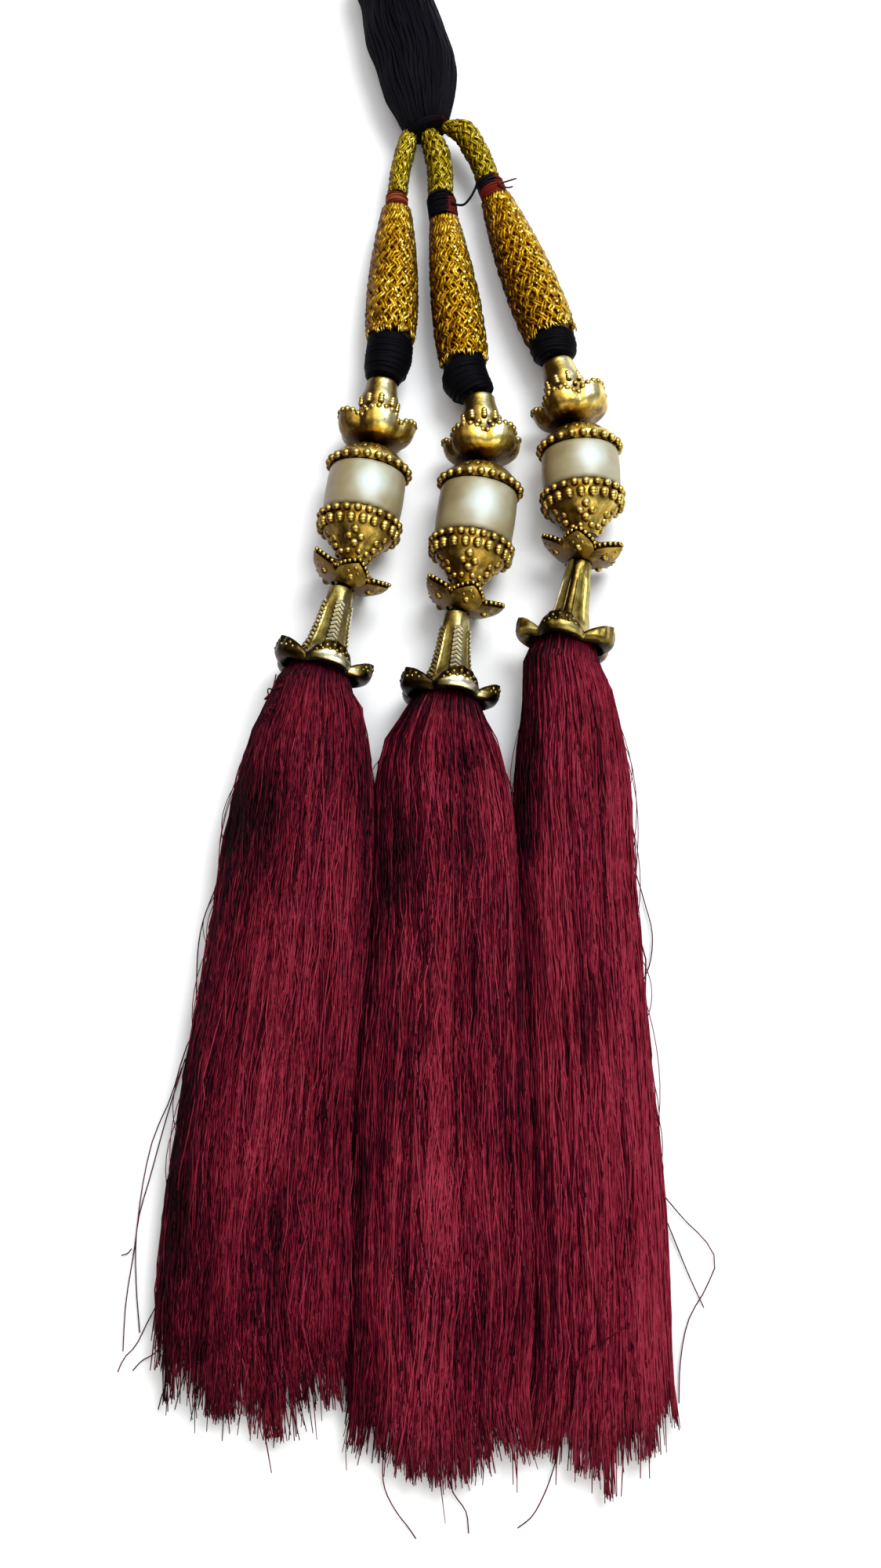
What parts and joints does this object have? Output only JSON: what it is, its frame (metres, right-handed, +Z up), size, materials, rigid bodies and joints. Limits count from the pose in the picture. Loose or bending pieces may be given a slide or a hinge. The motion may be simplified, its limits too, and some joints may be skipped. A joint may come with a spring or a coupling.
{
  "type": "paranda braid tassel",
  "caption": "Braid ornament: a yarn bundle that is plaited into the hair carries wound cords, cast and pearl beads and silk tassels.",
  "frame": {"origin": "middle of the box, on the surface that it lies on", "axes": "+Y from the tassels to the yarn bundle, +X across the strands to the right as seen from above, +Z up from the surface"},
  "size_m": [0.0824, 0.288, 0.0178],
  "materials": {
    "black_yarn": "soft matt yarn with a faint sheen",
    "gold_thread": "wound metallic thread with bright specks",
    "red_thread": "matt cotton thread",
    "cast_gold": "antique gold plate, dark in the recesses",
    "pearl": "pearlescent coat",
    "core_thread": "matt thread",
    "silk": "silky maroon thread"
  },
  "bodies": {
    "root": {"head_bundle": "black_yarn", "left_cord": "gold_thread", "left_binding": "red_thread", "left_bulb": "gold_thread", "left_wrap": "black_yarn", "left_collar": "cast_gold", "left_upper_flower": "cast_gold", "left_upper_cap": "cast_gold", "left_pearl": "pearl", "left_lower_cap": "cast_gold", "left_lower_flower": "cast_gold", "left_trumpet": "cast_gold", "left_core": "core_thread", "left_tassel": "silk", "middle_cord": "gold_thread", "middle_binding": "black_yarn", "middle_bulb": "gold_thread", "middle_wrap": "black_yarn", "middle_collar": "cast_gold", "middle_upper_flower": "cast_gold", "middle_upper_cap": "cast_gold", "middle_pearl": "pearl", "middle_lower_cap": "cast_gold", "middle_lower_flower": "cast_gold", "middle_trumpet": "cast_gold", "middle_core": "core_thread", "middle_tassel": "silk", "right_cord": "gold_thread", "right_binding": "red_thread", "right_bulb": "gold_thread", "right_wrap": "black_yarn", "right_collar": "cast_gold", "right_upper_flower": "cast_gold", "right_upper_cap": "cast_gold", "right_pearl": "pearl", "right_lower_cap": "cast_gold", "right_lower_flower": "cast_gold", "right_trumpet": "cast_gold", "right_core": "core_thread", "right_tassel": "silk"}
  },
  "joints": []
}
